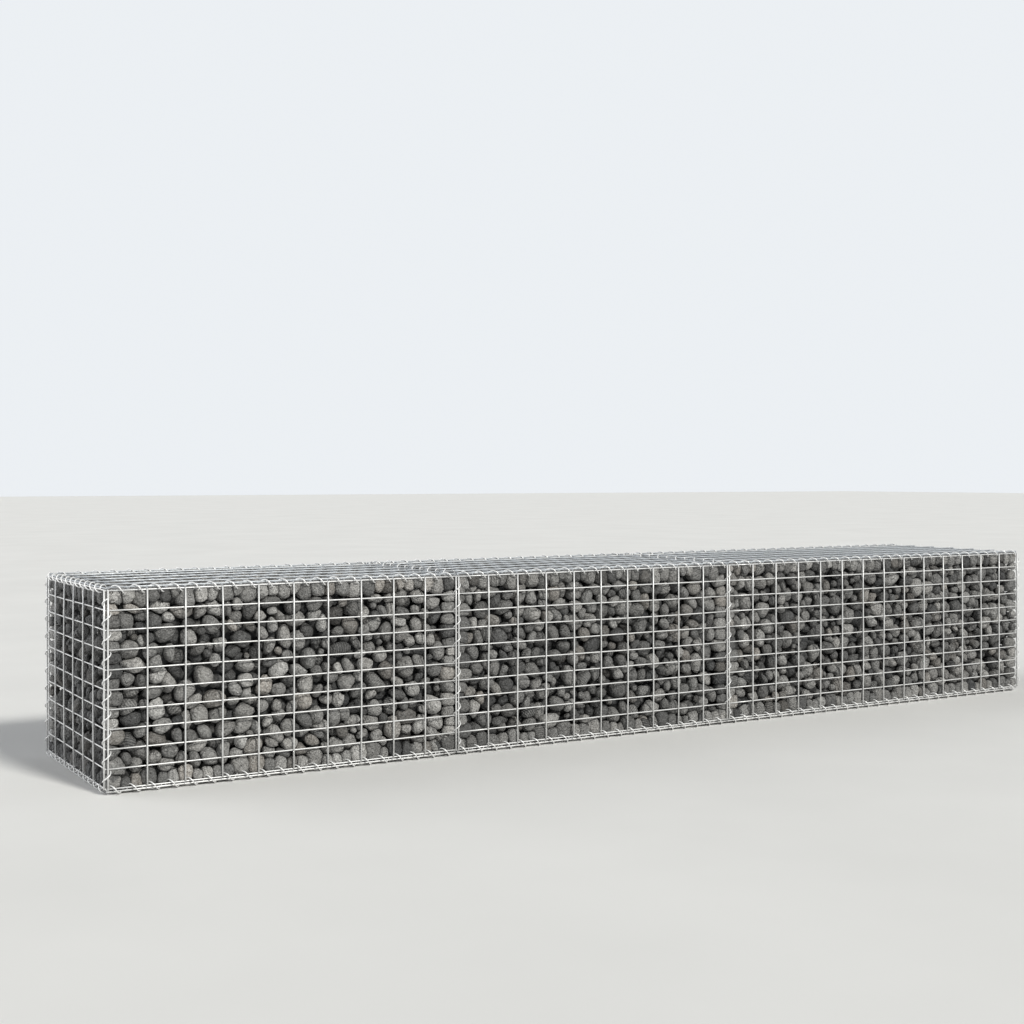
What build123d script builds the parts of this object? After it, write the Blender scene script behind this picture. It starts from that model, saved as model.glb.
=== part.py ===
"""Gabion wall: a row of welded-mesh baskets filled with stone.

Millimetres. X runs along the wall, -Y is the front, Z is up, and z = 0 is the
level that the bottom spirals stand on. The origin is under the middle of the wall.
"""

import os
from math import ceil, cos, floor, pi, sin, sqrt

from build123d import *

# baskets
BAY_CELLS = (10, 10, 14)  # wide cells along each basket, from the left
DEPTH_CELLS = 6
HEIGHT_ROWS = 10

# welded mesh
CELL = 100.0  # wide spacing of the mesh
ROW = 50.0  # narrow spacing of the mesh
MESH_WIRE = 4.0

# spirals that lace the panels together
SPIRAL_WIRE = 3.0  # height of its three-sided section
SPIRAL_RADIUS = 12.5  # to the middle of its wire
SPIRAL_STEPS = 8  # straight lengths in a turn

# stone
STONE_DEPTH = 14.0  # from the outer face of the mesh to the mean face of the loose stones

# fit
CLEARANCE = 0.3
JOINT_SPACING = 8.7  # between the edge wires of neighbouring baskets
EDGE_PHASE = 0.5  # of a turn: where a spiral passes outside an edge of the wall
JOINT_PHASE = 0.34  # of a turn: where a spiral passes outside a joint of two baskets

# what follows from the sizes above
PITCH = ROW
SPIRAL_OUTER = SPIRAL_RADIUS + SPIRAL_WIRE * 2 / 3
SPIRAL_INNER = (SPIRAL_RADIUS - SPIRAL_WIRE / 3) * cos(pi / SPIRAL_STEPS)
SEAT = SPIRAL_INNER - CLEARANCE  # from a spiral's axis to the outer face of the mesh
JOINT_SEAT = min(SEAT, SEAT * sqrt(2) - (JOINT_SPACING + MESH_WIRE) / 2)
STAND = SPIRAL_OUTER - JOINT_SEAT  # of the base panels above the ground
SPIRAL_ROOM = SPIRAL_OUTER + CLEARANCE  # kept free round a spiral's axis

MESH_LENGTHS = [cells * CELL for cells in BAY_CELLS]
DEEP = DEPTH_CELLS * CELL
TALL = HEIGHT_ROWS * ROW
LENGTH = sum(MESH_LENGTHS) + JOINT_SPACING * (len(BAY_CELLS) - 1) + 2 * SEAT
DEPTH = DEEP + 2 * SEAT
HEIGHT = TALL + 2 * SEAT

LEFT, RIGHT = -LENGTH / 2, LENGTH / 2
FRONT, BACK = -DEPTH / 2, DEPTH / 2
BOTTOM, TOP = STAND, STAND + HEIGHT

ALONG = Vector(1, 0, 0)
INTO = Vector(0, 1, 0)
UP = Vector(0, 0, 1)


def bay_spans():
    """X of the first and last upright wire of each basket, from the left."""
    spans = []
    start = LEFT + SEAT
    for length in MESH_LENGTHS:
        spans.append((start, start + length))
        start += length + JOINT_SPACING
    return spans


def mesh_panel(corner, across, columns, column_pitch, upward, rows, row_pitch):
    """A flat welded panel whose outermost wires cross at the corner."""
    normal = across.cross(upward)
    plane = Plane(origin=corner - normal * MESH_WIRE / 2, x_dir=across, z_dir=normal)
    width = columns * column_pitch
    height = rows * row_pitch
    middle = Location((width / 2, height / 2, 0))
    outline = middle * Rectangle(width + MESH_WIRE, height + MESH_WIRE)
    opening = Rectangle(column_pitch - MESH_WIRE, row_pitch - MESH_WIRE).face().outer_wire()
    cells = GridLocations(column_pitch, row_pitch, columns, rows)
    sheet = Face(outline.face().outer_wire(), [opening.moved(middle * cell) for cell in cells])
    return extrude(plane * sheet, MESH_WIRE)


def spiral(start, along, outward, length, phase, inset=0.0):
    """A spiral about an axis from start, on the outward side at the phase of each turn.

    Its wire stays the inset away from both ends of the length.
    """
    outward = outward.normalized()
    side = along.cross(outward)
    first = ceil((inset / PITCH - phase) * SPIRAL_STEPS)
    last = floor(((length - inset) / PITCH - phase) * SPIRAL_STEPS)
    rings = []
    for step in range(first, last + 1):
        travel = (phase + step / SPIRAL_STEPS) * PITCH
        angle = 2 * pi * step / SPIRAL_STEPS
        radial = outward * cos(angle) + side * sin(angle)
        turning = side * cos(angle) - outward * sin(angle)
        heading = turning * 2 * pi * SPIRAL_RADIUS + along * PITCH
        point = start + along * travel + radial * SPIRAL_RADIUS
        section = Plane(origin=point, x_dir=radial, z_dir=heading)
        rings.append(section * RegularPolygon(SPIRAL_WIRE * 2 / 3, 3))
    return loft(rings, ruled=True)


def stone_fill(left, right):
    """The stone of one basket, as a block that rests on the base and clears the spirals."""
    floor_gap = MESH_WIRE + CLEARANCE
    low, high = BOTTOM + floor_gap, TOP - STONE_DEPTH
    bevel = 2 * SEAT + SPIRAL_ROOM * sqrt(2) - floor_gap - STONE_DEPTH
    block = Box(right - left, DEPTH - 2 * STONE_DEPTH, high - low)
    middle = Location(((left + right) / 2, 0, (low + high) / 2))
    return middle * chamfer(block.edges(), bevel)


def long_panels(number, start, columns):
    """The front, back, lid and base of one basket."""
    half = MESH_WIRE / 2
    low, near = BOTTOM + SEAT, FRONT + SEAT
    panels = {}
    for name, y in (("front_panel", FRONT + half), ("back_panel", BACK - half)):
        corner = Vector(start, y, low)
        panels[f"{name}_{number}"] = mesh_panel(
            corner, ALONG, columns, CELL, UP, HEIGHT_ROWS, ROW
        )
    narrow_columns = round(columns * CELL / ROW)
    for name, z in (("base_panel", BOTTOM + half), ("lid", TOP - half)):
        corner = Vector(start, near, z)
        panels[f"{name}_{number}"] = mesh_panel(
            corner, ALONG, narrow_columns, ROW, INTO, DEPTH_CELLS, CELL
        )
    return panels


def cross_panel(x):
    """An end panel or a divider, centred on x."""
    corner = Vector(x, FRONT + SEAT, BOTTOM + SEAT)
    return mesh_panel(corner, INTO, DEPTH_CELLS, CELL, UP, HEIGHT_ROWS, ROW)


def long_spirals(number, x, length):
    """The spirals on the four long edges of one basket."""
    spirals = {}
    for level, z, out_z in (("bottom", BOTTOM + SEAT, -UP), ("top", TOP - SEAT, UP)):
        for face, y, out_y in (("front", FRONT + SEAT, -INTO), ("back", BACK - SEAT, INTO)):
            start = Vector(x, y, z)
            name = f"{level}_{face}_spiral_{number}"
            spirals[name] = spiral(start, ALONG, out_y + out_z, length, EDGE_PHASE)
    return spirals


def end_spirals(end, x, out_x):
    """The two upright and two level spirals round an end panel."""
    spirals = {}
    for face, y, out_y in (("front", FRONT + SEAT, -INTO), ("back", BACK - SEAT, INTO)):
        start = Vector(x, y, BOTTOM + SEAT)
        name = f"{end}_{face}_spiral"
        spirals[name] = spiral(start, UP, out_x + out_y, TALL, EDGE_PHASE, SPIRAL_ROOM)
    for level, z, out_z in (("bottom", BOTTOM + SEAT, -UP), ("top", TOP - SEAT, UP)):
        start = Vector(x, FRONT + SEAT, z)
        name = f"{end}_{level}_spiral"
        spirals[name] = spiral(start, INTO, out_x + out_z, DEEP, EDGE_PHASE, SPIRAL_ROOM)
    return spirals


def joint_spirals(number, x):
    """The spirals round a divider: front, back, and the pair on its top and bottom."""
    spirals = {}
    for face, y, out_y in (("front", FRONT + JOINT_SEAT, -INTO), ("back", BACK - JOINT_SEAT, INTO)):
        start = Vector(x, y, BOTTOM + SEAT)
        name = f"{face}_joint_spiral_{number}"
        spirals[name] = spiral(start, UP, out_y, TALL, JOINT_PHASE, SPIRAL_ROOM)
    pair = []
    for z, out_z in ((BOTTOM + JOINT_SEAT, -UP), (TOP - JOINT_SEAT, UP)):
        start = Vector(x, FRONT + SEAT, z)
        pair.append(spiral(start, INTO, out_z, DEEP, JOINT_PHASE, SPIRAL_ROOM))
    spirals[f"divider_spirals_{number}"] = Compound(pair)
    return spirals


def gabion_wall():
    """Every named piece of the wall."""
    half = MESH_WIRE / 2
    spans = bay_spans()
    joints = [end + JOINT_SPACING / 2 for _, end in spans[:-1]]
    stone_starts = [LEFT + STONE_DEPTH] + [x + half + CLEARANCE for x in joints]
    stone_ends = [x - half - CLEARANCE for x in joints] + [RIGHT - STONE_DEPTH]
    pieces = {}
    for index, (start, end) in enumerate(spans):
        number = index + 1
        pieces[f"stone_fill_{number}"] = stone_fill(stone_starts[index], stone_ends[index])
        pieces.update(long_panels(number, start, BAY_CELLS[index]))
        pieces.update(long_spirals(number, start, end - start))
    for number, x in enumerate(joints, 1):
        pieces[f"divider_{number}"] = cross_panel(x)
        pieces.update(joint_spirals(number, x))
    pieces["left_end_panel"] = cross_panel(LEFT + half)
    pieces["right_end_panel"] = cross_panel(RIGHT - half)
    pieces.update(end_spirals("left_end", LEFT + SEAT, -ALONG))
    pieces.update(end_spirals("right_end", RIGHT - SEAT, ALONG))
    return pieces


os.makedirs("parts", exist_ok=True)
for node, shape in gabion_wall().items():
    export_step(shape, f"parts/{node}.step")
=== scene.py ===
"""Gabion wall: round galvanised wires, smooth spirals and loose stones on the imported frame.

Metres. X runs along the wall, -Y is the front and Z is up.
"""

import math
from collections import namedtuple

import bpy
import numpy as np
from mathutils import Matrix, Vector


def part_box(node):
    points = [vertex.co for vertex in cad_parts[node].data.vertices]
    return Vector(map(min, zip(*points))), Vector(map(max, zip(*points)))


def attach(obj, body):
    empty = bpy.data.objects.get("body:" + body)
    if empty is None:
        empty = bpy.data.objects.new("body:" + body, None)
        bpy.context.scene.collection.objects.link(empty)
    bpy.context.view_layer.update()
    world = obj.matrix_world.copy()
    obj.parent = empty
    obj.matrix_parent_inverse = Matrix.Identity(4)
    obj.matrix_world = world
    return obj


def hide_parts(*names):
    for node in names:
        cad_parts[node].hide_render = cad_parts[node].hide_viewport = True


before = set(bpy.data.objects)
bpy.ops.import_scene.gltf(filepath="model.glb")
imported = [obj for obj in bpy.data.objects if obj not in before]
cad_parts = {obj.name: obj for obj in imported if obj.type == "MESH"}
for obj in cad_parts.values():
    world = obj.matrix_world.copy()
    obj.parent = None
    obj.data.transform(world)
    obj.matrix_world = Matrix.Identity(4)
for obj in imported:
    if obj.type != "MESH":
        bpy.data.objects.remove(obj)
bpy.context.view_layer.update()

# axes and sides
X, Y, Z = 0, 1, 2
AXES = np.eye(3)
ENDS = (("left_end", -1), ("right_end", 1))
FACES = (("front", -1), ("back", 1))
LEVELS = (("bottom", -1), ("top", 1))

# welded mesh
CELL = 0.1
ROW = 0.05
BAR = 0.004  # side of the square bars in the CAD panels
OUTER_WIRE = 0.0023  # radius of the wires that stand a cell apart
INNER_WIRE = 0.0019  # radius of the wires that stand a row apart
WELD = 0.0005  # how far crossing wires sink into each other
WIRE_SIDES = 6
WIRE_LEAN = 0.0005  # how far a wire strays from its line
BULGE = 0.002  # how far the stones push out the middle of a panel

# spirals
PITCH = ROW
SPIRAL_RADIUS = 0.0103  # to the middle of its wire, which just clears the wires it laces
SPIRAL_WIRE = 0.0018  # radius of that wire
SPIRAL_SIDES = 6
TURN_STEPS = 20
EDGE_PHASE = 0.5  # of a turn: where a spiral passes outside an edge of the wall
JOINT_PHASE = 0.34  # of a turn: where a spiral passes outside a joint of two baskets

# where the stones lie
MESH_DEPTH = 0.0075  # from the outer face of a panel to the nearest stone
SEATING = 0.92  # from there to the middle of an outer stone, as a share of its reach
LOOSE_DEPTH = 0.012  # how much deeper than that an outer stone may lie
INNER_DEPTH = 0.046  # of the stones behind the outer ones
INNER_LOOSENESS = 0.008  # how far they stray from it
POCKET_DEPTH = 0.016  # of the small stones in the widest gaps
POCKET_LOOSENESS = 0.004  # how far they stray from it
POCKET_STEP = 0.006  # between the places where such a stone is tried
POCKET_REACH = 0.05  # how near the middle of a stone is that may fill such a place
EDGE_SEATING = (0.65, 0.9)  # from the mesh to the middle of a stone along an edge, in its radii
EDGE_SPACING = 1.6  # between the middles of those stones, in their mean radii
COVER = 0.93  # share of each side that the stones cover

# how large the stones are: their radii, and their half sizes as shares of those
STONE_SIZES = (0.015, 0.042)
INNER_SIZES = (0.020, 0.031)
BASE_SIZES = (0.022, 0.036)
EDGE_SIZES = (0.014, 0.028)
POCKET_SIZES = (0.008, 0.015)
SIZE_SPREAD = (1.5, 2.2)  # of a beta distribution over the sizes
LENGTHENING = 0.65  # how much longer than its radius half a stone is, at most
LENGTH_SPREAD = (1.3, 1.5)  # of a beta distribution up to that
FLATNESS = (0.7, 1.0)  # half its thickness
TILT = 0.25  # in radians, of the outer stones' flat sides from the mesh
EDGE_STRETCH = (1.15, 1.5)
POCKET_STRETCH = (1.05, 1.4)

# how the stones settle
SETTLE_ROUNDS = 80
SEARCH_EVERY = 10  # rounds between two searches for stones that may touch
TOUCH_REACH = 0.095  # how near to each other the middles of such stones are
TOUCH = 0.97  # how near to each other two stones come, as a share of their reach
GIVING_WAY = 0.3  # share of an overlap by which each of two stones gives way in a round
PRESS = 0.85  # how near to the mesh a stone comes, as a share of its reach

# how the stones are worn and cut to fit
STEPS = {"front": 4, "back": 3, "top": 3, "bottom": 2, "end": 4}  # of the balls that they start as
INNER_STEPS = 2
POCKET_STEPS = 3  # at most
NEIGHBOURS = 14
NEIGHBOUR_FIT = 1.01  # how far a stone reaches towards a neighbour, as a share of its part of the way
NEIGHBOUR_GAP = 0.0005  # by which it then stays short
NEIGHBOUR_LEAST = 0.45  # share of its own reach that it keeps where neighbours crowd it
CUTS = 6
CUT_DEPTHS = (0.62, 1.0)  # from its middle, as shares of its reach
MESH_LEAST = 0.004  # reach that it keeps where the mesh crowds it
SHARPNESS = (6, 18)  # of its edges
ROUNDING = 1.07  # how far it reaches where nothing cuts it, in its half sizes

# painted shade and light: how much darker or paler some stones are made, as a share of the others, for the
# light that falls on them; then how single stones differ
DEEP_PAINTED_SHADE = 0.15  # painted shade: the stones behind the outer ones are darkened, for the shade that falls between the outer stones
# painted shade: the small stones in the gaps are darkened, for the shade that falls into the gaps
POCKET_PAINTED_SHADE = 0.7
# painted shade: the stones of the left end are darkened, as if that end stood in shade
LEFT_END_PAINTED_SHADE = 0.25
BAY_PAINTED_LIGHT_AND_SHADE = (1.12, 0.76, 0.82)  # from the left; painted light and shade: the first basket's stones are paler, as if in a patch of sunlight, and the other two darker, as if in soft shade
TONE_SPREAD = (1.7, 1.9)  # of a beta distribution
TINTED_SHARE = 0.10
STRONG_TINT = (0.5, 1.0)
WEAK_TINT = (0.0, 0.25)
BANDED_SHARE = 0.14
BAND_STRENGTH = (0.4, 1.0)
GRAIN_SHIFT = 50.0  # how far from the middle of the patterns a stone's own patch of them may lie
STONE_SEED = 1000

# core behind the stones
CORE_DEPTH = 0.056
CORE_AT_DIVIDER = 0.01
CORE_STEP = 0.04
CORE_ROUGHNESS = 0.006

# colours: pairs of pale and dull zinc and of dark and pale stone and floor, then single ones
MESH_ZINC = ((0.81, 0.81, 0.805, 1), (0.67, 0.67, 0.67, 1))
# painted shade and a painted sky reflection: the lids are the same zinc as the rest, made duller and bluer
# for the shade between their wires and the sky they reflect
LID_ZINC_PAINTED_SHADE = ((0.57, 0.595, 0.62, 1), (0.39, 0.415, 0.44, 1))
SPIRAL_ZINC = ((0.87, 0.87, 0.865, 1), (0.75, 0.75, 0.75, 1))
ZINC_METALLIC = 0.35
STONE_GREY = ((0.048, 0.05, 0.052, 1), (0.62, 0.615, 0.60, 1))
STONE_BROWN = ((0.062, 0.058, 0.053, 1), (0.63, 0.585, 0.535, 1))
STONE_FLECK = ((0.12, 0.12, 0.124, 1), (0.84, 0.835, 0.82, 1))
STONE_MOTTLE = (0.42, 0.42, 0.42, 1)
STONE_SPECK = (0.04, 0.04, 0.042, 1)
STONE_VEIN = (0.52, 0.51, 0.49, 1)
STONE_PIT = (0.03, 0.03, 0.032, 1)
FLOOR_GREY = ((0.76, 0.76, 0.75, 1), (0.80, 0.80, 0.79, 1))
FLOOR_ROUGHNESS = 0.9
FLOOR_REACH = 60.0

# sky, as it lights the wall and as the camera, metal and glass show it
SKY_COLOUR = (0.93, 0.965, 1.0, 1)
SKY_LIGHT = 0.25
SKY_SHOWN = 0.9

# camera
CAMERA_PLACE = (-2.688, -3.874, 0.80)
CAMERA_TURN = 31.3  # degrees from straight at the front, towards the right end
CAMERA_LENS = 49.7
CAMERA_SENSOR = 36.0
CAMERA_SHIFT = -0.033

# sockets of a Mix node that mixes colours
MIX_FACTOR, MIX_FIRST, MIX_SECOND = 0, 6, 7
MIX_RESULT = 2

TINY = 1e-9  # added to a length before a division by it
DIGITS = 6  # rounding that puts the edges of a ball's cube exactly on its sides

Side = namedtuple("Side", "axis outward name")
Heap = namedtuple("Heap", "place half turn")  # middles, half sizes and rotations of stones
# the shade of a group or skin is painted shade or light: a factor on the tones of its stones, 1 where none
# is painted
Group = namedtuple("Group", "name steps shade place half turn free")  # stones that are made alike
Skin = namedtuple("Skin", "shade points faces grain")


def corners(node):
    """The lowest and highest corner of a CAD node."""
    low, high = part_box(node)
    return np.array(low), np.array(high)


def joined(parts):
    """One list of corners and one of faces, from several."""
    points, faces = [], []
    count = 0
    for part_points, part_faces in parts:
        points.append(part_points)
        faces += [tuple(count + index for index in face) for face in part_faces]
        count += len(part_points)
    return np.concatenate(points), faces


def piece(name, points, faces, material, nodes):
    """A smooth-shaded object that stands for CAD nodes."""
    mesh = bpy.data.meshes.new(name)
    mesh.from_pydata(points.tolist(), [], faces)
    mesh.shade_smooth()
    mesh.materials.append(material)
    obj = bpy.data.objects.new(name, mesh)
    bpy.context.scene.collection.objects.link(obj)
    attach(obj, "root")
    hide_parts(*nodes)
    return obj


def tube(centres, side_a, side_b, radius, sides):
    """A closed round tube along centres, whose rings lie on the two side directions."""
    angles = np.arange(sides) * 2 * math.pi / sides
    ring_a = np.cos(angles)[:, None] * np.broadcast_to(side_a, centres.shape)[:, None, :]
    ring_b = np.sin(angles)[:, None] * np.broadcast_to(side_b, centres.shape)[:, None, :]
    points = (centres[:, None, :] + radius * (ring_a + ring_b)).reshape(-1, 3)
    faces = []
    for ring in range(len(centres) - 1):
        first, second = ring * sides, (ring + 1) * sides
        for side in range(sides):
            after = (side + 1) % sides
            faces.append((first + side, first + after, second + after, second + side))
    last = (len(centres) - 1) * sides
    faces.append(tuple(range(sides - 1, -1, -1)))
    faces.append(tuple(range(last, last + sides)))
    return points, faces


def box_grid(steps):
    """The corners, as whole numbers, and the faces of a box with a number of steps along each axis."""
    found, faces = {}, []
    for axis in (X, Y, Z):
        first, second = (axis + 1) % 3, (axis + 2) % 3
        for end in (0, steps[axis]):
            for i in range(steps[first]):
                for j in range(steps[second]):
                    face = []
                    for a, b in ((i, j), (i + 1, j), (i + 1, j + 1), (i, j + 1)):
                        corner = [0, 0, 0]
                        corner[axis], corner[first], corner[second] = end, a, b
                        face.append(found.setdefault(tuple(corner), len(found)))
                    faces.append(face if end else face[::-1])
    return np.array(list(found)), faces


# materials


def new_material(name):
    """A node material, its tree and its principled shader."""
    material = bpy.data.materials.new(name)
    material.use_nodes = True
    return material, material.node_tree, material.node_tree.nodes["Principled BSDF"]


def add_node(tree, kind, inputs=None, **settings):
    """A node with its settings, and its inputs as values or as links."""
    node = tree.nodes.new(kind)
    for key, value in settings.items():
        setattr(node, key, value)
    for key, value in (inputs or {}).items():
        if isinstance(value, bpy.types.NodeSocket):
            tree.links.new(value, node.inputs[key])
        else:
            node.inputs[key].default_value = value
    return node


def noise(tree, at, scale, detail=3.0, roughness=0.55):
    """A cloudy pattern from 0 to 1."""
    inputs = {"Vector": at, "Scale": scale, "Detail": detail, "Roughness": roughness}
    return add_node(tree, "ShaderNodeTexNoise", inputs).outputs["Fac"]


def ranged(tree, value, low, high, to_low=0.0, to_high=1.0):
    """A value mapped from one range to another, and kept inside it."""
    inputs = {"Value": value, "From Min": low, "From Max": high, "To Min": to_low, "To Max": to_high}
    return add_node(tree, "ShaderNodeMapRange", inputs).outputs["Result"]


def mixed(tree, factor, first, second, blend="MIX"):
    """Two colours mixed."""
    inputs = {MIX_FACTOR: factor, MIX_FIRST: first, MIX_SECOND: second}
    node = add_node(tree, "ShaderNodeMix", inputs, data_type="RGBA", blend_type=blend)
    return node.outputs[MIX_RESULT]


def stained(tree, colour, stain, pattern, start, full, most, blend="MIX"):
    """A colour with a stain that grows from none to its most as a pattern goes from start to full."""
    return mixed(tree, ranged(tree, pattern, start, full, to_high=most), colour, stain, blend)


def worked(tree, operation, first, second):
    """A sum, product or other result of two values."""
    node = add_node(tree, "ShaderNodeMath", {0: first, 1: second}, operation=operation)
    return node.outputs[0]


def bump(tree, height, distance, strength=1.0, normal=None):
    """The normal of a surface with a pattern as its relief, on top of another relief if there is one."""
    inputs = {"Height": height, "Distance": distance, "Strength": strength}
    if normal is not None:
        inputs["Normal"] = normal
    return add_node(tree, "ShaderNodeBump", inputs).outputs["Normal"]


def galvanised(name, pale, dull):
    """Zinc on steel wire: pale metal with duller spangle, and a slightly uneven skin."""
    material, tree, shader = new_material(name)
    at = add_node(tree, "ShaderNodeTexCoord").outputs["Object"]
    spangle = noise(tree, at, scale=210.0, detail=4.0)
    patches = noise(tree, at, scale=9.0, detail=2.0)
    spots = ranged(tree, spangle, low=0.4, high=0.65)
    dullness = worked(tree, "MULTIPLY", spots, ranged(tree, patches, low=0.3, high=0.7, to_low=0.5))
    tree.links.new(mixed(tree, dullness, pale, dull), shader.inputs["Base Color"])
    roughness = ranged(tree, spangle, low=0.3, high=0.7, to_low=0.32, to_high=0.5)
    tree.links.new(roughness, shader.inputs["Roughness"])
    tree.links.new(bump(tree, spangle, distance=0.0002, strength=0.5), shader.inputs["Normal"])
    shader.inputs["Metallic"].default_value = ZINC_METALLIC
    return material


def stone_material():
    """Worn grey stone: each stone has its own tone, tint and grain, with specks, pits and bands; the tone
    also carries painted shade and light, set per group and per basket.
    """
    material, tree, shader = new_material("worn_stone")
    at = add_node(tree, "ShaderNodeAttribute", attribute_name="grain").outputs["Vector"]
    tone = add_node(tree, "ShaderNodeAttribute", attribute_name="tone").outputs["Fac"]
    warmth = add_node(tree, "ShaderNodeAttribute", attribute_name="warmth").outputs["Fac"]
    bands = add_node(tree, "ShaderNodeAttribute", attribute_name="bands").outputs["Fac"]
    mottle = noise(tree, at, scale=70.0, detail=5.0, roughness=0.6)
    specks = noise(tree, at, scale=190.0, detail=4.0, roughness=0.7)
    dents = noise(tree, at, scale=120.0)
    pits = add_node(tree, "ShaderNodeTexVoronoi", {"Vector": at, "Scale": 230.0}).outputs["Distance"]
    wave_inputs = {"Vector": at, "Scale": 48.0, "Distortion": 4.0, "Detail": 3.0, "Detail Scale": 1.5}
    wave = add_node(tree, "ShaderNodeTexWave", wave_inputs).outputs["Fac"]

    colour = mixed(tree, warmth, mixed(tree, tone, *STONE_GREY), mixed(tree, tone, *STONE_BROWN))
    colour = stained(tree, colour, STONE_MOTTLE, mottle, start=0.36, full=0.66, most=0.6, blend="MULTIPLY")
    fleck = mixed(tree, tone, *STONE_FLECK)
    colour = stained(tree, colour, fleck, specks, start=0.52, full=0.66, most=0.8)
    colour = stained(tree, colour, STONE_SPECK, specks, start=0.47, full=0.32, most=0.7)
    veins = worked(tree, "MULTIPLY", bands, ranged(tree, wave, low=0.6, high=0.95, to_high=0.55))
    colour = mixed(tree, veins, colour, STONE_VEIN)
    colour = stained(tree, colour, STONE_PIT, pits, start=0.20, full=0.04, most=0.5)
    tree.links.new(colour, shader.inputs["Base Color"])
    roughness = ranged(tree, mottle, low=0.3, high=0.7, to_low=0.38, to_high=0.7)
    tree.links.new(roughness, shader.inputs["Roughness"])

    relief = bump(tree, dents, distance=0.02, strength=0.9)
    relief = bump(tree, specks, distance=0.005, strength=0.8, normal=relief)
    relief = bump(tree, pits, distance=0.002, strength=0.5, normal=relief)
    tree.links.new(relief, shader.inputs["Normal"])
    return material


def floor_material():
    """A pale, dull and slightly cloudy floor."""
    material, tree, shader = new_material("pale_floor")
    at = add_node(tree, "ShaderNodeTexCoord").outputs["Object"]
    shade = ranged(tree, noise(tree, at, scale=1.2), low=0.3, high=0.7)
    tree.links.new(mixed(tree, shade, *FLOOR_GREY), shader.inputs["Base Color"])
    shader.inputs["Roughness"].default_value = FLOOR_ROUGHNESS
    return material


# welded panels


def wires(rng, low, high, run, spread, spacing, thin, level, radius, swell):
    """Round wires along the run axis, spaced along the spread axis, at a level of the thin axis."""
    count = round((high[spread] - low[spread] - BAR) / spacing) + 1
    steps = round((high[run] - low[run]) / CELL)
    along = np.linspace(low[run], high[run], steps + 1)
    share = (along - low[run]) / (high[run] - low[run])
    parts = []
    for place in low[spread] + BAR / 2 + spacing * np.arange(count):
        bow, wave, _ = rng.normal(0, WIRE_LEAN, 3)
        centres = np.zeros((steps + 1, 3))
        centres[:, run] = along
        centres[:, spread] = place + np.sin(math.pi * share) * bow
        centres[:, spread] += np.sin(2 * math.pi * share) * wave
        centres[:, thin] = level + swell(share, place, spread)
        parts.append(tube(centres, AXES[spread], np.cross(AXES[run], AXES[spread]), radius, WIRE_SIDES))
    return parts


def mesh_panel(node, thin, wide, narrow, outward, material):
    """The round wires of a panel that is thin along one axis.

    They stand a cell apart along the wide axis, outside, and a row apart along the narrow
    axis, inside.
    """
    low, high = corners(node)
    face = high[thin] if outward > 0 else low[thin]
    outer_level = face - outward * OUTER_WIRE
    inner_level = face - outward * (2 * OUTER_WIRE + INNER_WIRE - WELD)

    def swell(share_along, place, spread):
        """How far the filled panel is pushed out at shares of a wire's length, none at its edges."""
        share_spread = (place - low[spread]) / (high[spread] - low[spread])
        return outward * BULGE * np.sin(math.pi * share_along) * math.sin(math.pi * share_spread)

    rng = np.random.default_rng(sum(map(ord, node)))
    outer = wires(rng, low, high, narrow, wide, CELL, thin, outer_level, OUTER_WIRE, swell)
    inner = wires(rng, low, high, wide, narrow, ROW, thin, inner_level, INNER_WIRE, swell)
    points, faces = joined(outer + inner)
    piece(f"{node}_wires", points, faces, material, [node])


# spirals


def coil(low, high, axis, outward, origin, phase):
    """The smooth wire of one spiral, against the outer faces of the box of its CAD solid."""
    along = AXES[axis]
    reach = SPIRAL_RADIUS + SPIRAL_WIRE
    middle = np.where(outward > 0, high - reach, np.where(outward < 0, low + reach, (low + high) / 2))
    outward = outward / np.linalg.norm(outward)
    side = np.cross(along, outward)
    begin = (low[axis] + SPIRAL_WIRE - origin) / PITCH
    end = (high[axis] - SPIRAL_WIRE - origin) / PITCH
    travel = np.linspace(begin, end, round((end - begin) * TURN_STEPS) + 1)
    angle = 2 * math.pi * (travel - phase)
    radial = np.cos(angle)[:, None] * outward + np.sin(angle)[:, None] * side
    turning = np.cos(angle)[:, None] * side - np.sin(angle)[:, None] * outward
    centres = middle + SPIRAL_RADIUS * radial
    centres[:, axis] = origin + travel * PITCH
    heading = turning * 2 * math.pi * SPIRAL_RADIUS + along * PITCH
    heading /= np.linalg.norm(heading, axis=1)[:, None]
    return tube(centres, radial, np.cross(heading, radial), SPIRAL_WIRE, SPIRAL_SIDES)


def spiral(node, axis, outward, origin, phase, material):
    """One spiral, or the two on the top and bottom of a divider."""
    low, high = corners(node)
    outward = np.array(outward, float)
    directions = [-outward, outward] if node.startswith("divider") else [outward]
    points, faces = joined([coil(low, high, axis, direction, origin, phase) for direction in directions])
    piece(f"{node}_wire", points, faces, material, [node])


# places and sizes of the stones


def across(axis):
    """The two other axes."""
    return [other for other in (X, Y, Z) if other != axis]


def inside(low, high, axis, outward, depth):
    """The place on an axis that lies at a depth behind the low or the high side."""
    return high[axis] - depth if outward > 0 else low[axis] + depth


def side_painted_shade(name, outward):
    """The painted shade of the stones of one side: those of the left end are darkened as if that end stood
    in shade, the others keep their tone.
    """
    return LEFT_END_PAINTED_SHADE if name == "end" and outward < 0 else 1.0


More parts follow.
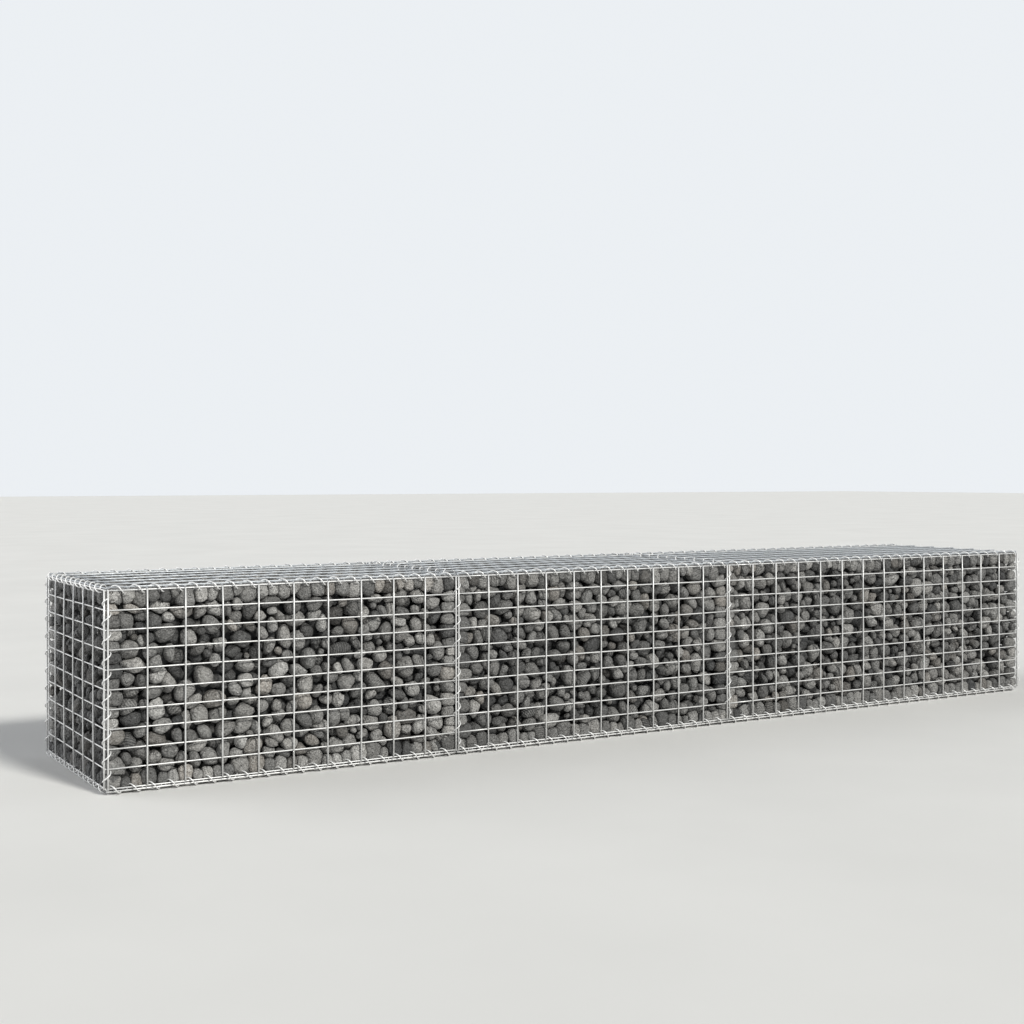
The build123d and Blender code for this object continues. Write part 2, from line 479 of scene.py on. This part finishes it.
def rotations(turn, tilt_a, tilt_b):
    """Rotation matrices that tilt about two axes and then turn about the third."""
    cos_a, sin_a = np.cos(tilt_a), np.sin(tilt_a)
    cos_b, sin_b = np.cos(tilt_b), np.sin(tilt_b)
    cos_c, sin_c = np.cos(turn), np.sin(turn)
    zero, one = np.zeros_like(turn), np.ones_like(turn)
    about_a = np.array([[one, zero, zero], [zero, cos_a, -sin_a], [zero, sin_a, cos_a]])
    about_b = np.array([[cos_b, zero, sin_b], [zero, one, zero], [-sin_b, zero, cos_b]])
    about_c = np.array([[cos_c, -sin_c, zero], [sin_c, cos_c, zero], [zero, zero, one]])
    return np.einsum("ijs,jks,kls->sil", about_c, about_b, about_a)


def any_rotations(rng, count):
    """Rotation matrices with random angles about all three axes."""
    return rotations(*rng.uniform(0, 2 * math.pi, (3, count)))


def side_axes(axis):
    """The rotation that lays flat stones on a side across an axis."""
    first, second = across(axis)
    matrix = np.zeros((3, 3))
    matrix[first, 0] = matrix[second, 1] = matrix[axis, 2] = 1
    if np.linalg.det(matrix) < 0:
        matrix[axis, 2] = -1
    return matrix


def stone_radii(rng, sizes, area):
    """Radii, most of them in the lower half of the sizes, of stones that cover an area."""
    radii = []
    covered = 0.0
    while covered < COVER * area:
        radius = sizes[0] + (sizes[1] - sizes[0]) * rng.beta(*SIZE_SPREAD)
        radii.append(radius)
        covered += math.pi * radius**2
    return np.array(radii)


def side_layer(rng, low, high, meshed, side, sizes, steps, depth=None):
    """Stones along one side of a basket, against the mesh or at a depth behind those that are."""
    others = across(side.axis)
    room = sizes[1] if depth is None else depth + sizes[1] / 2
    start, end = low.copy(), high.copy()
    if side.name not in ("front", "back") or depth is not None:
        start[others] += room * meshed[0][others]
        end[others] -= room * meshed[1][others]
    radii = stone_radii(rng, sizes, np.prod((end - start)[others]))
    count = len(radii)
    long = 1 + LENGTHENING * rng.beta(*LENGTH_SPREAD, count)
    flat = rng.uniform(*FLATNESS, count)
    half = radii[:, None] * np.column_stack([long, 1 / long, flat])
    tilt = rng.normal(0, TILT, (2, count))
    turn = side_axes(side.axis) @ rotations(rng.uniform(0, 2 * math.pi, count), tilt[0], tilt[1])
    place = rng.uniform(start, end, (count, 3))
    if depth is None:
        reach = np.linalg.norm(turn[:, side.axis, :] * half, axis=1)
        inward = SEATING * reach + rng.uniform(0, 1, count) ** 2 * LOOSE_DEPTH
        shade = side_painted_shade(side.name, side.outward)
    else:
        inward = depth + rng.uniform(-INNER_LOOSENESS, INNER_LOOSENESS, count)
        shade = DEEP_PAINTED_SHADE
    place[:, side.axis] = inside(low, high, side.axis, side.outward, inward)
    free = np.ones((count, 3))
    free[:, side.axis] = 0
    return Group(side.name, steps, shade, place, half, turn, free)


def edge_row(rng, low, high, axis, outwards, name, shade=1.0):
    """Small stones in a row along one edge of a basket, whose two sides face outwards, -1 or 1 each."""
    length = (high - low)[axis]
    count = round(length / (EDGE_SPACING * sum(EDGE_SIZES) / 2))
    radii = rng.uniform(*EDGE_SIZES, count)
    along = np.cumsum(2 * radii) - radii
    place = np.zeros((count, 3))
    place[:, axis] = low[axis] + along / (2 * radii.sum()) * length
    for other, outward in zip(across(axis), outwards):
        place[:, other] = inside(low, high, other, outward, radii * rng.uniform(*EDGE_SEATING, count))
    half = radii[:, None] * rng.uniform(*EDGE_STRETCH, (count, 3))
    turn = any_rotations(rng, count)
    return Group(name, STEPS[name], shade, place, half, turn, np.zeros_like(place))


def basket_edges(rng, low, high, meshed):
    """Rows of small stones along the edges that the layers leave thin."""
    rows = []
    for name, y_side in FACES:
        rows += [edge_row(rng, low, high, X, (y_side, z_side), name) for z_side in (-1, 1)]
        rows += [edge_row(rng, low, high, Z, (x_side, y_side), name) for x_side in (-1, 1)]
    for x_side, has_mesh in zip((-1, 1), meshed[:, X]):
        if has_mesh:
            shade = side_painted_shade("end", x_side)
            rows += [edge_row(rng, low, high, Y, (x_side, z_side), "end", shade) for z_side in (-1, 1)]
    return rows


def heap_of(parts):
    """The stones of several groups or heaps as one heap."""
    return Heap(*(np.concatenate([getattr(part, key) for part in parts]) for key in Heap._fields))


def reach_along(heap, rows, direction):
    """Distance from the middle to the skin, in a direction, of each stone that rows name."""
    own = np.einsum("sji,sj->si", heap.turn[rows], direction)
    return 1 / np.sqrt(((own / heap.half[rows]) ** 2).sum(axis=1))


def settle(heap, free, low, high):
    """The heap with its stones pushed apart inside the basket until they hardly overlap."""
    support = np.sqrt(((heap.turn * heap.half[:, None, :]) ** 2).sum(axis=2))
    lowest, highest = low + PRESS * support, high - PRESS * support
    place = heap.place
    for round_number in range(SETTLE_ROUNDS):
        if round_number % SEARCH_EVERY == 0:
            apart = place[:, None, :] - place[None, :, :]
            near = (apart**2).sum(axis=2) < TOUCH_REACH**2
            one, other = np.nonzero(np.triu(near, 1))
        apart = place[one] - place[other]
        distance = np.linalg.norm(apart, axis=1) + TINY
        direction = apart / distance[:, None]
        needed = reach_along(heap, one, direction) + reach_along(heap, other, direction)
        push = GIVING_WAY * np.clip(TOUCH * needed - distance, 0, None)[:, None] * direction
        move = np.zeros_like(place)
        np.add.at(move, one, push)
        np.add.at(move, other, -push)
        place = np.where(free > 0, np.clip(place + move * free, lowest, highest), place)
    return heap._replace(place=place)


def pocket_grid(low, high, side):
    """Points in rows and columns on one side of a basket, a little behind the mesh."""
    wide, tall = across(side.axis)
    places_wide = np.arange(low[wide] + POCKET_STEP / 2, high[wide], POCKET_STEP)
    places_tall = np.arange(low[tall] + POCKET_STEP / 2, high[tall], POCKET_STEP)
    points = np.zeros((len(places_wide), len(places_tall), 3))
    points[:, :, wide] = places_wide[:, None]
    points[:, :, tall] = places_tall[None]
    points[:, :, side.axis] = inside(low, high, side.axis, side.outward, POCKET_DEPTH)
    return points


def free_room(heap, points, axis):
    """The radius of the ball that fits between the stones at each point of a grid across an axis."""
    others = across(axis)
    origin = points[0, 0]
    reach = round(POCKET_REACH / POCKET_STEP)
    room = np.full(points.shape[:2], POCKET_SIZES[1])
    for stone in np.nonzero(abs(heap.place[:, axis] - origin[axis]) < POCKET_REACH)[0]:
        row, column = ((heap.place[stone, others] - origin[others]) / POCKET_STEP).astype(int)
        near = np.s_[max(row - reach, 0) : row + reach + 1, max(column - reach, 0) : column + reach + 1]
        apart = points[near] - heap.place[stone]
        distance = np.linalg.norm(apart, axis=2)
        stretch = np.linalg.norm(apart @ heap.turn[stone] / heap.half[stone], axis=2)
        skin = distance / (stretch + TINY)
        room[near] = np.minimum(room[near], distance - skin)
    return room


def pocket_stones(rng, heap, low, high, side):
    """Small stones in the widest gaps between those on one side of a basket."""
    points = pocket_grid(low, high, side)
    room = free_room(heap, points, side.axis)
    found, radii = [], []
    while room.max() > POCKET_SIZES[0]:
        spot = np.unravel_index(room.argmax(), room.shape)
        found.append(points[spot])
        radii.append(room[spot])
        room = np.minimum(room, np.linalg.norm(points - points[spot], axis=2) - room[spot])
    place, radii = np.array(found), np.array(radii)
    count = len(radii)
    place[:, side.axis] += rng.uniform(-POCKET_LOOSENESS, POCKET_LOOSENESS, count)
    half = radii[:, None] * rng.uniform(*POCKET_STRETCH, (count, 3))
    turn = any_rotations(rng, count)
    steps = min(STEPS[side.name], POCKET_STEPS)
    shade = POCKET_PAINTED_SHADE * side_painted_shade(side.name, side.outward)
    return Group(side.name, steps, shade, place, half, turn, np.zeros_like(place))


# shapes of the stones


def ball(steps):
    """Directions and faces of a ball, made from a cube with steps by steps faces on each side."""
    grid, faces = box_grid((steps, steps, steps))
    ticks = np.round(np.tan(np.linspace(-1, 1, steps + 1) * math.pi / 4), DIGITS)
    points = ticks[grid]
    return points / np.linalg.norm(points, axis=1)[:, None], np.array(faces)


def neighbour_planes(heap, chosen):
    """Directions of the planes between each chosen stone and its neighbours, and how far they are."""
    shape = (len(chosen), NEIGHBOURS)
    distance = np.linalg.norm(heap.place[None, :, :] - heap.place[chosen][:, None, :], axis=2)
    distance[np.arange(len(chosen)), chosen] = np.inf
    other = np.argpartition(distance, NEIGHBOURS, axis=1)[:, :NEIGHBOURS].ravel()
    own = np.repeat(chosen, NEIGHBOURS)
    apart = heap.place[other] - heap.place[own]
    distance = np.linalg.norm(apart, axis=1)
    normals = apart / distance[:, None]
    own_reach = reach_along(heap, own, normals)
    share = own_reach / (own_reach + reach_along(heap, other, normals))
    offsets = NEIGHBOUR_FIT * distance * share - NEIGHBOUR_GAP
    offsets = np.maximum(offsets, NEIGHBOUR_LEAST * own_reach)
    return normals.reshape(*shape, 3), offsets.reshape(shape)


def worn_planes(rng, heap, chosen):
    """Directions of the planes that cut each chosen stone at random, and how far they are."""
    shape = (len(chosen), CUTS)
    normals = rng.normal(size=(*shape, 3))
    normals /= np.linalg.norm(normals, axis=2)[:, :, None]
    own = np.repeat(chosen, CUTS)
    offsets = reach_along(heap, own, normals.reshape(-1, 3)).reshape(shape)
    return normals, offsets * rng.uniform(*CUT_DEPTHS, shape)


def mesh_planes(heap, low, high, chosen):
    """Directions of the six sides of the basket from each chosen stone, and how far they are."""
    normals = np.concatenate([AXES, -AXES])
    place = heap.place[chosen]
    offsets = np.concatenate([high - place, place - low], axis=1)
    return np.broadcast_to(normals, (len(chosen), *normals.shape)), np.maximum(offsets, MESH_LEAST)


def stone_skins(rng, heap, low, high, chosen, steps, shade):
    """The chosen stones as worn blocks, cut to fit between their neighbours and the mesh."""
    directions, faces = ball(steps)
    count = len(chosen)
    planes = (
        neighbour_planes(heap, chosen),
        worn_planes(rng, heap, chosen),
        mesh_planes(heap, low, high, chosen),
    )
    normals, offsets = (np.concatenate(parts, axis=1) for parts in zip(*planes))
    sharpness = rng.uniform(*SHARPNESS, (count, 1))
    outward = np.einsum("sij,vj->svi", heap.turn[chosen], directions)
    facing = np.clip(np.einsum("svi,ski->svk", outward, normals), 0, None) / offsets[:, None, :]
    egg = np.sqrt(((directions[None] / heap.half[chosen][:, None, :]) ** 2).sum(axis=2)) / ROUNDING
    total = (facing ** sharpness[:, :, None]).sum(axis=2) + egg**sharpness
    radii = total ** (-1 / sharpness)
    points = heap.place[chosen][:, None, :] + radii[:, :, None] * outward
    grain = radii[:, :, None] * directions[None]
    grain = grain + rng.uniform(-GRAIN_SHIFT, GRAIN_SHIFT, (count, 1, 3))
    return Skin(shade, points, faces, grain)


def stone_values(rng, shade, count):
    """A tone, a warmth and a strength of bands for each stone."""
    # the painted shade or light of the group and basket scales the tone
    tone = shade * rng.beta(*TONE_SPREAD, count)
    tinted = rng.uniform(size=count) < TINTED_SHARE
    warmth = np.where(tinted, rng.uniform(*STRONG_TINT, count), rng.uniform(*WEAK_TINT, count))
    banded = rng.uniform(size=count) < BANDED_SHARE
    bands = np.where(banded, rng.uniform(*BAND_STRENGTH, count), 0.0)
    return np.column_stack([tone, warmth, bands])


def stones(rng, name, skins, material, node):
    """One object for several groups of stones, with a tone, tint and grain for each stone."""
    points, faces, grains, values = [], [], [], []
    start = 0
    for skin in skins:
        count, corners_each = skin.points.shape[:2]
        starts = start + np.arange(count) * corners_each
        faces.append((starts[:, None, None] + skin.faces[None]).reshape(-1, 4))
        points.append(skin.points.reshape(-1, 3))
        grains.append(skin.grain.reshape(-1, 3))
        values.append(np.repeat(stone_values(rng, skin.shade, count), corners_each, axis=0))
        start += count * corners_each
    values = np.concatenate(values)
    obj = piece(name, np.concatenate(points), np.concatenate(faces).tolist(), material, [node])
    grain = obj.data.attributes.new("grain", "FLOAT_VECTOR", "POINT")
    grain.data.foreach_set("vector", np.concatenate(grains).ravel())
    for column, key in enumerate(("tone", "warmth", "bands")):
        attribute = obj.data.attributes.new(key, "FLOAT", "POINT")
        attribute.data.foreach_set("value", np.ascontiguousarray(values[:, column]))


def core(rng, name, low, high, material, node):
    """The rough middle of the fill, which stops light from passing between the stones; it carries no tone,
    so it takes the darkest stone grey, as painted shade of the depths of the fill.
    """
    size = high - low
    steps = np.maximum(np.round(size / CORE_STEP).astype(int), 1)
    grid, faces = box_grid(steps.tolist())
    points = low + grid / steps * size
    points += rng.uniform(-CORE_ROUGHNESS, CORE_ROUGHNESS, points.shape)
    piece(name, points, faces, material, [node])


def basket_room(number, count):
    """The corners of the room for the stones of a basket, and which low and high sides have mesh."""
    first, last = number == 1, number == count
    left = corners("left_end_panel")[0][X] if first else corners(f"divider_{number - 1}")[1][X]
    right = corners("right_end_panel")[1][X] if last else corners(f"divider_{number}")[0][X]
    front = corners(f"front_panel_{number}")[0][Y]
    back = corners(f"back_panel_{number}")[1][Y]
    bottom = corners(f"base_panel_{number}")[0][Z]
    top = corners(f"lid_{number}")[1][Z]
    meshed = np.array([[first, 1, 1], [last, 1, 1]], float)
    low = np.array([left, front, bottom]) + MESH_DEPTH * meshed[0]
    high = np.array([right, back, top]) - MESH_DEPTH * meshed[1]
    return low, high, meshed


def fill_basket(number, count, material):
    """Everything that fills one of a count of baskets, with the inside of its mesh as the limit."""
    rng = np.random.default_rng(STONE_SEED + number)
    low, high, meshed = basket_room(number, count)
    sides = [Side(Y, -1, "front"), Side(Y, 1, "back"), Side(Z, 1, "top"), Side(Z, -1, "bottom")]
    sides += [Side(X, outward, "end") for outward, has_mesh in zip((-1, 1), meshed[:, X]) if has_mesh]

    groups = basket_edges(rng, low, high, meshed)
    for side in sides:
        sizes = BASE_SIZES if side.name == "bottom" else STONE_SIZES
        groups.append(side_layer(rng, low, high, meshed, side, sizes, STEPS[side.name]))
        if side.name != "bottom":
            groups.append(side_layer(rng, low, high, meshed, side, INNER_SIZES, INNER_STEPS, INNER_DEPTH))
    free = np.concatenate([group.free for group in groups])
    heap = settle(heap_of(groups), free, low, high)
    pockets = [pocket_stones(rng, heap, low, high, side) for side in sides if side.name != "bottom"]
    heap = heap_of([heap, *pockets])

    skins = {}
    start = 0
    for group in groups + pockets:
        chosen = np.arange(start, start + len(group.place))
        start += len(group.place)
        # the painted shade of the group, times the painted light or shade of the basket
        shade = group.shade * BAY_PAINTED_LIGHT_AND_SHADE[number - 1]
        skin = stone_skins(rng, heap, low, high, chosen, group.steps, shade)
        skins.setdefault(group.name, []).append(skin)
    node = f"stone_fill_{number}"
    for name, side_skins in skins.items():
        stones(rng, f"stones_{name}_{number}", side_skins, material, node)
    inset = CORE_AT_DIVIDER + (CORE_DEPTH - CORE_AT_DIVIDER) * meshed
    core(rng, f"stone_core_{number}", low + inset[0], high - inset[1], material, node)


# the wall


def build_ends(origin, wire, lacing):
    """Both end panels and the spirals round them, from the place of their lowest and foremost wires."""
    for end, side in ENDS:
        mesh_panel(f"{end}_panel", X, Y, Z, side, wire)
    for end, side in ENDS:
        for face, depth in FACES:
            spiral(f"{end}_{face}_spiral", Z, (side, depth, 0), origin[Z], EDGE_PHASE, lacing)
        for level, rise in LEVELS:
            spiral(f"{end}_{level}_spiral", Y, (side, 0, rise), origin[Y], EDGE_PHASE, lacing)


def build_joint(number, origin, wire, lacing):
    """A divider and the spirals round it."""
    mesh_panel(f"divider_{number}", X, Y, Z, -1, wire)
    for face, depth in FACES:
        spiral(f"{face}_joint_spiral_{number}", Z, (0, depth, 0), origin[Z], JOINT_PHASE, lacing)
    spiral(f"divider_spirals_{number}", Y, (0, 0, 1), origin[Y], JOINT_PHASE, lacing)


def build_basket(number, wire, lid_wire_painted_shade, lacing):
    """The front, back, lid and base of one basket and the spirals on its long edges."""
    mesh_panel(f"front_panel_{number}", Y, X, Z, -1, wire)
    mesh_panel(f"back_panel_{number}", Y, X, Z, 1, wire)
    mesh_panel(f"lid_{number}", Z, Y, X, 1, lid_wire_painted_shade)
    mesh_panel(f"base_panel_{number}", Z, Y, X, -1, wire)
    start = corners(f"lid_{number}")[0][X] + BAR / 2
    for level, rise in LEVELS:
        for face, depth in FACES:
            spiral(f"{level}_{face}_spiral_{number}", X, (0, depth, rise), start, EDGE_PHASE, lacing)


def build_wall():
    """Every piece of the wall."""
    wire = galvanised("galvanised_mesh", *MESH_ZINC)
    # the lids' zinc carries painted shade and a painted sky reflection
    lid_wire_painted_shade = galvanised("galvanised_lid", *LID_ZINC_PAINTED_SHADE)
    lacing = galvanised("galvanised_spiral", *SPIRAL_ZINC)
    stone = stone_material()
    baskets = sum(1 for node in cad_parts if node.startswith("stone_fill_"))
    origin = corners("left_end_panel")[0] + BAR / 2
    build_ends(origin, wire, lacing)
    for number in range(1, baskets):
        build_joint(number, origin, wire, lacing)
    for number in range(1, baskets + 1):
        build_basket(number, wire, lid_wire_painted_shade, lacing)
        fill_basket(number, baskets, stone)


# surroundings and camera


def build_floor():
    """A large square floor that the wall stands on."""
    mesh = bpy.data.meshes.new("floor")
    square = [(x * FLOOR_REACH, y * FLOOR_REACH, 0) for x, y in ((-1, -1), (1, -1), (1, 1), (-1, 1))]
    mesh.from_pydata(square, [], [(0, 1, 2, 3)])
    mesh.materials.append(floor_material())
    floor = bpy.data.objects.new("floor", mesh)
    bpy.context.scene.collection.objects.link(floor)


def sun_light(name, direction, softness, strength, colour):
    """A far lamp that shines along a direction, with its softness in degrees."""
    light = bpy.data.lights.new(name, "SUN")
    light.angle = math.radians(softness)
    light.energy = strength
    light.color = colour
    obj = bpy.data.objects.new(name, light)
    obj.rotation_euler = Vector(direction).to_track_quat("-Z", "Y").to_euler()
    bpy.context.scene.collection.objects.link(obj)


def build_light():
    """A pale sky, a lamp in front of the wall and a soft one behind its left end."""
    world = bpy.data.worlds.new("studio")
    world.use_nodes = True
    tree = world.node_tree
    background = tree.nodes["Background"]
    background.inputs["Color"].default_value = SKY_COLOUR
    path = add_node(tree, "ShaderNodeLightPath")
    shown = worked(tree, "MAXIMUM", path.outputs["Is Camera Ray"], path.outputs["Is Glossy Ray"])
    shown = worked(tree, "MAXIMUM", shown, path.outputs["Is Transmission Ray"])
    strength = ranged(tree, shown, low=0.0, high=1.0, to_low=SKY_LIGHT, to_high=SKY_SHOWN)
    tree.links.new(strength, background.inputs["Strength"])
    bpy.context.scene.world = world
    sun_light("key", (-0.18, 0.78, -0.60), softness=10, strength=2.75, colour=(1.0, 0.985, 0.93))
    sun_light("fill", (0.80, -0.52, -0.28), softness=60, strength=1.7, colour=(1.0, 1.0, 1.0))


def build_camera():
    """A level camera at the photograph's viewing angle."""
    camera = bpy.data.cameras.new("camera")
    camera.lens = CAMERA_LENS
    camera.sensor_width = CAMERA_SENSOR
    camera.shift_y = CAMERA_SHIFT
    obj = bpy.data.objects.new("camera", camera)
    obj.location = CAMERA_PLACE
    obj.rotation_euler = (math.radians(90), 0, -math.radians(CAMERA_TURN))
    bpy.context.scene.collection.objects.link(obj)
    bpy.context.scene.camera = obj


build_wall()
build_floor()
build_light()
build_camera()
bpy.context.scene.view_settings.view_transform = "Standard"
